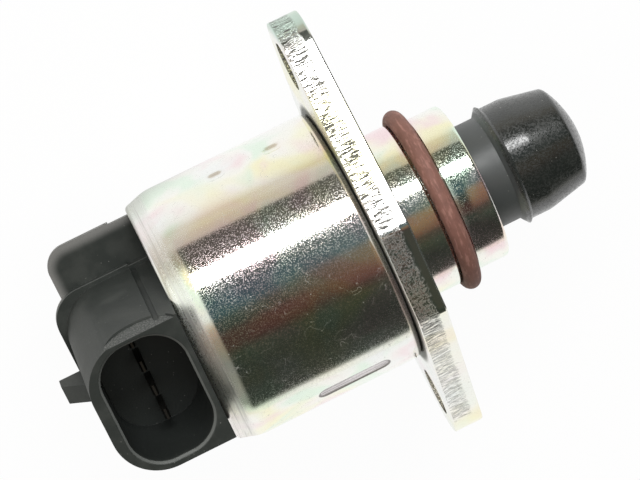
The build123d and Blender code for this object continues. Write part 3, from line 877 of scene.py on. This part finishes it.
# Torn part of the punched edge, rough across the plate's thickness
through = [e for e in plate.edges if through_edge(e)]
bmesh.ops.subdivide_edges(plate, edges=through, cuts=edge_cuts)
plate.normal_update()
tears_per_metre = Vector((450, 1200, 1200))
for v in plate.verts:
    share = min(max((torn_start - v.co.x / MM) / (torn_start - torn_full), 0), 1)
    if share and v.co.x > torn_end * MM and on_outline(v):
        tear = max(noise.noise(v.co * tears_per_metre), -0.5)
        v.co -= v.normal * (tear_depth + tear_spread * tear) * MM * share
add_piece("flange_plate", plate, "plated_flange", "housing", "mounting_flange", crease=25)

# Connector: the moulding's own solid with its edges eased
cap = bmesh.new()
cap.from_mesh(frame["nodes"]["connector_body"].data)
bmesh.ops.remove_doubles(cap, verts=cap.verts, dist=same_place * MM)
bmesh.ops.dissolve_limit(cap, angle_limit=radians(0.4), verts=cap.verts, edges=cap.edges)
connector = add_piece("connector_moulding", cap, "black_moulding", "housing", "connector_body", crease=30)
eased = connector.modifiers.new("eased edges", "BEVEL")
eased.width = eased_edge * MM
eased.segments = 2
eased.limit_method = "ANGLE"
eased.angle_limit = radians(40)
flat_walls = connector.modifiers.new("flat walls", "WEIGHTED_NORMAL")
flat_walls.keep_sharp = True


def placed(place, x_way, y_way, z_way):
    """Matrix that puts an object at a place, with its own axes along three directions."""
    return Matrix.Translation(place) @ Matrix((x_way, y_way, z_way)).transposed().to_4x4()


# Camera, from the photograph: it looks at the valve from above the can's rear rim
tilt = radians(22)
roll = radians(26.2)
camera_x = -30.35
camera_distance = 342
axis_way = Vector((1, 0, 0))
towards_camera = Vector((0, sin(tilt), cos(tilt)))
across = Vector((0, cos(tilt), -sin(tilt)))
camera_place = (axis_way * camera_x + towards_camera * camera_distance) * MM
aim = Vector((-9.45, 1.6, -0.65)) * MM
forward = (aim - camera_place).normalized()
picture_right = axis_way * cos(roll) - across * sin(roll)
right = (picture_right - forward * picture_right.dot(forward)).normalized()
camera_data = bpy.data.cameras.new("camera")
camera_data.sensor_width = 36
camera_data.lens = 148.5
camera = show("camera", camera_data)
camera.matrix_world = placed(camera_place, right, right.cross(forward), -forward)
bpy.context.scene.camera = camera
bpy.context.scene.view_settings.view_transform = "Standard"

# Studio: a white room with a dark side, drawn by the angle round the valve's axis
world = bpy.data.worlds.new("studio")
bpy.context.scene.world = world
world.use_nodes = True
world.node_tree.nodes.clear()
w = Nodes(world.node_tree)
ray = w.add("TexCoord", output="Generated")
sideways = w.add("SeparateXYZ", {}, {0: ray}, "X")
ray_across = w.measure("DOT_PRODUCT", ray, tuple(across))
ray_up = w.measure("DOT_PRODUCT", ray, tuple(towards_camera))
angle = w.maths("ARCTAN2", ray_across, ray_up) / (2 * pi) + 0.5


def stop(degrees, *colour):
    """A ramp's stop at an angle round the axis from the camera's side, with its colour."""
    return degrees / 360 + 0.5, colour


rear_room = w.ramp(
    angle,
    stop(-130, 1, 1, 0.98), stop(-107, 0.92, 0.92, 0.86), stop(-103, 0.20, 0.21, 0.18),
    stop(-100, 0.04, 0.045, 0.038), stop(-60, 0.028, 0.033, 0.028), stop(-44, 0.036, 0.044, 0.035),
    stop(-36, 0.055, 0.028, 0.025), stop(-26, 0.060, 0.032, 0.028), stop(-20, 0.036, 0.043, 0.039),
    stop(-13, 0.045, 0.060, 0.056), stop(-8, 0.045, 0.085, 0.10), stop(4, 0.05, 0.088, 0.105),
    stop(12, 0.06, 0.08, 0.078), stop(40, 0.10, 0.105, 0.09), stop(57.5, 0.09, 0.09, 0.08),
    stop(60, 0.55, 0.48, 0.44), stop(72, 0.64, 0.56, 0.49), stop(90, 0.80, 0.78, 0.66),
    stop(110, 1, 1, 0.94),
)
front_room = w.ramp(
    angle,
    stop(-130, 1, 1, 0.98), stop(-107, 0.95, 0.93, 0.86), stop(-103, 0.20, 0.21, 0.18),
    stop(-100, 0.05, 0.055, 0.046), stop(-70, 0.028, 0.034, 0.028), stop(-50, 0.045, 0.055, 0.042),
    stop(-38, 0.07, 0.055, 0.045), stop(-33, 0.16, 0.09, 0.065), stop(-22, 0.24, 0.16, 0.095),
    stop(-10, 0.24, 0.185, 0.12), stop(-4, 0.12, 0.16, 0.155), stop(12, 0.12, 0.15, 0.15),
    stop(40, 0.11, 0.11, 0.10), stop(57.5, 0.10, 0.10, 0.09), stop(60, 0.56, 0.50, 0.46),
    stop(72, 0.64, 0.58, 0.49), stop(90, 0.80, 0.78, 0.66), stop(110, 1, 1, 0.94),
)
behind_room = w.ramp(
    angle,
    stop(-130, 1, 1, 0.98), stop(-104, 0.80, 0.80, 0.74), stop(-96, 0.30, 0.30, 0.27),
    stop(-50, 0.22, 0.22, 0.20), stop(-26, 0.34, 0.25, 0.20), stop(-16, 0.50, 0.36, 0.29),
    stop(-8, 0.80, 0.82, 0.80), stop(10, 0.95, 0.96, 0.94), stop(36, 0.95, 0.95, 0.92),
    stop(46, 0.42, 0.37, 0.32), stop(56, 0.40, 0.34, 0.29), stop(66, 0.66, 0.62, 0.54),
    stop(110, 1, 1, 0.94),
)

# The room changes with how far a ray leans along the axis, and is dark straight ahead of the pintle
room = w.mix(w.between(sideways, 0.02, 0.11), rear_room, front_room)
room = w.mix(w.between(sideways, -0.06, -0.22), room, behind_room)
room = w.mix(w.between(sideways, 0.65, 0.85), room, (0.06, 0.065, 0.06))
lit = w.add("Background", {}, {"Color": room})
backdrop = w.add("Background", {}, {"Color": (1, 1, 1, 1)})
shown = w.add("MixShader", {}, {0: w.add("LightPath", output="Is Camera Ray"), 1: lit, 2: backdrop})
w.add("OutputWorld", {}, {0: shown})

# Strip lamp along the valve, which the can mirrors as its bright band; lamps are in metres
strip = bpy.data.lights.new("strip_lamp", "AREA")
strip.shape = "RECTANGLE"
strip.size = 0.42
strip.size_y = 0.13
strip.energy = 2.2
strip_turn = radians(25.8)
strip_distance = 0.6
strip_shift = 0.1
strip_way = towards_camera * cos(strip_turn) + across * sin(strip_turn)
strip_place = strip_way * strip_distance + axis_way * strip_shift
strip_lamp = show("strip_lamp", strip)
strip_lamp.matrix_world = placed(strip_place, axis_way, strip_way.cross(axis_way), strip_way)

# Soft lamp over the whole valve, which the plating doesn't mirror
soft = bpy.data.lights.new("soft_lamp", "AREA")
soft.shape = "DISK"
soft.size = 0.5
soft.energy = 1.6
soft_distance = 0.7
soft_place = Vector((0.1, 0.25, 1)).normalized() * soft_distance
soft_turn = soft_place.to_track_quat("Z", "Y").to_matrix().to_4x4()
soft_lamp = show("soft_lamp", soft)
soft_lamp.matrix_world = Matrix.Translation(soft_place) @ soft_turn
soft_lamp.visible_glossy = False

# White table under the valve, in metres; it keeps the valve's shadow
table_half = 3.0
table_height = cad_box[0].z
table = bmesh.new()
bmesh.ops.create_grid(table, x_segments=1, y_segments=1, size=table_half)
bmesh.ops.translate(table, vec=(0, 0, table_height), verts=table.verts)
table_mesh = bpy.data.meshes.new("table")
table.to_mesh(table_mesh)
table.free()

# White paper: seen directly it glows white, and the plating mirrors it with a painted shadow under the cap
# and greyer far off
paper = Finish("white_paper")
t = paper.nodes
fibre = t.mix(t.noise(3.0, 3, 0.6), (0.90, 0.90, 0.89), (0.94, 0.94, 0.93))
paper.dress(base_color=fibre, roughness=0.8)
glossy = t.add("LightPath", output="Is Glossy Ray")
seen = t.maths("MAXIMUM", t.add("LightPath", output="Is Camera Ray"), glossy)
seen = t.maths("MAXIMUM", seen, t.add("LightPath", output="Is Transmission Ray"))
far_off = t.between(t.along("Y"), 30, 220)
cap_shade = (-48, 4, table_height / MM)
painted_cap_shadow = t.between(t.measure("DISTANCE", t.place(), cap_shade), 36, 16)
glow_colour = t.mix(far_off * glossy, (1, 1, 1), (0.66, 0.60, 0.51))
glow_colour = t.mix(painted_cap_shadow * glossy, glow_colour, (0.55, 0.55, 0.53))
glow = t.add("Emission", {}, {"Color": glow_colour, "Strength": 1.0})
surface = t.add("MixShader", {}, {0: seen * 0.96, 1: Term(t, paper.shader.outputs[0]), 2: glow})
t.tree.links.new(surface.socket, t.tree.nodes["Material Output"].inputs[0])
table_mesh.materials.append(paper.material)
table_top = show("table", table_mesh)
